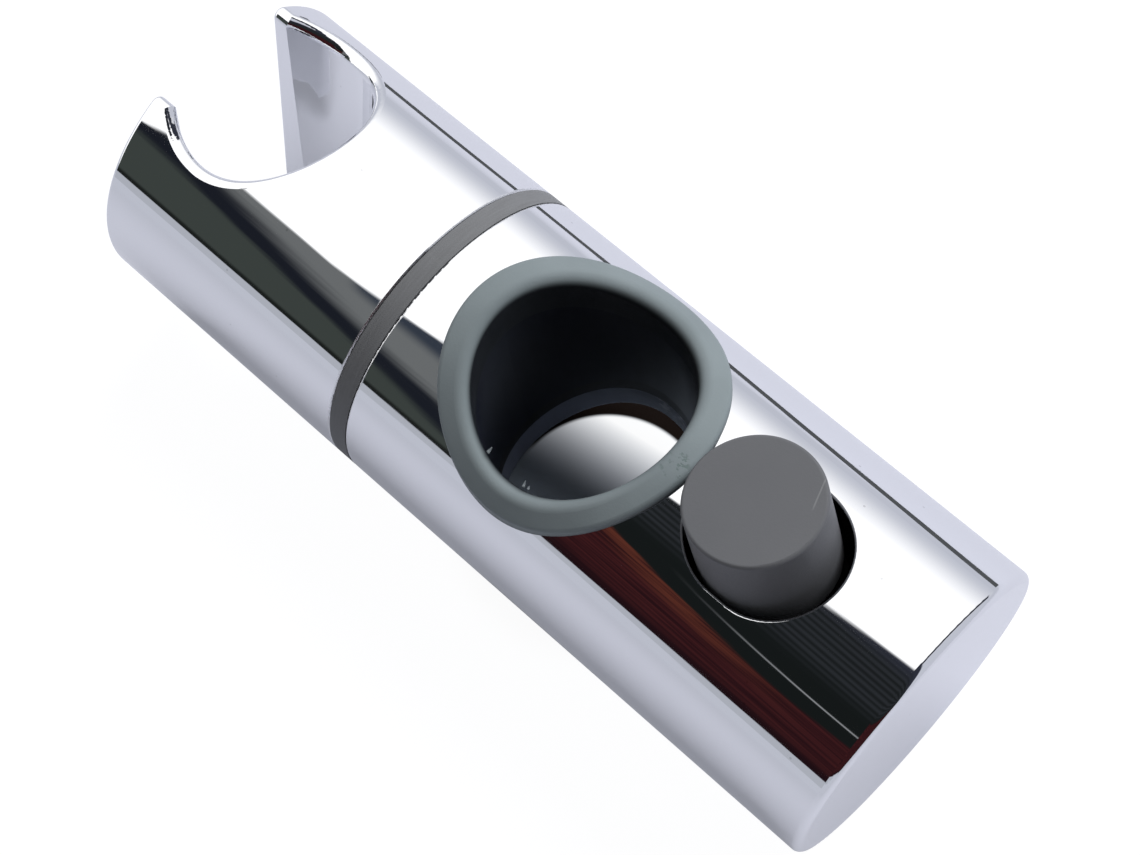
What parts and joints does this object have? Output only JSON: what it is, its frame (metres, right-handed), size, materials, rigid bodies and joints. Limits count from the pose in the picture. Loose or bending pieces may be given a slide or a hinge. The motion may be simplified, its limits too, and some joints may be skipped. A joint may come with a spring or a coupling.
{
  "type": "shower rail slider",
  "caption": "Round slider for a shower rail, with a button that frees its brake and a holder on its end that turns and takes the cone of a hand shower.",
  "frame": {"origin": "where the axis of the rail hole crosses the barrel's axis, in the middle of the hole", "axes": "+Z along the rail hole, out of the face with the button; +X along the barrel, from the rail to the handset holder; +Y completes the right-handed frame"},
  "size_m": [0.1118, 0.04, 0.0494],
  "materials": {
    "chrome_plate": "polished bright plating on a moulding",
    "black_plastic": "smooth moulded black",
    "bezel_grey": "soft satin grey",
    "ring_grey": "matt grey",
    "button_grey": "fine matt grey",
    "rubber": "matt black",
    "steel": "bright drawn steel",
    "brass": "turned"
  },
  "bodies": {
    "barrel": {"barrel_shell": "chrome_plate", "rail_core": "black_plastic", "rail_sleeve": "black_plastic", "front_bezel": "bezel_grey", "rear_bezel": "bezel_grey", "friction_ring": "ring_grey", "pivot_bush": "black_plastic", "pivot_seal": "rubber", "end_buffer": "rubber", "lever_pin": "steel", "lever_spring": "steel"},
    "holder": {"handset_holder": "chrome_plate", "threaded_insert": "brass", "pivot_screw": "steel", "pivot_washer": "steel", "disc_spring_inner": "steel", "disc_spring_outer": "steel"},
    "lever": {"brake_lever": "black_plastic", "release_button": "button_grey", "brake_pad": "rubber"}
  },
  "joints": [
    {"name": "holder_turn", "type": "hinge", "parent": "barrel", "child": "holder", "pos_m": [0, 0, 0], "axis": [1, 0, 0], "continuous": true},
    {"name": "button_press", "type": "hinge", "parent": "barrel", "child": "lever", "pos_m": [-0.0172, 0, 0.0095], "axis": [0, -1, 0], "range_deg": [0, 11], "stiffness_Nm_per_rad": 0.3, "springref_deg": -22.92, "deforming": ["lever_spring"]}
  ]
}
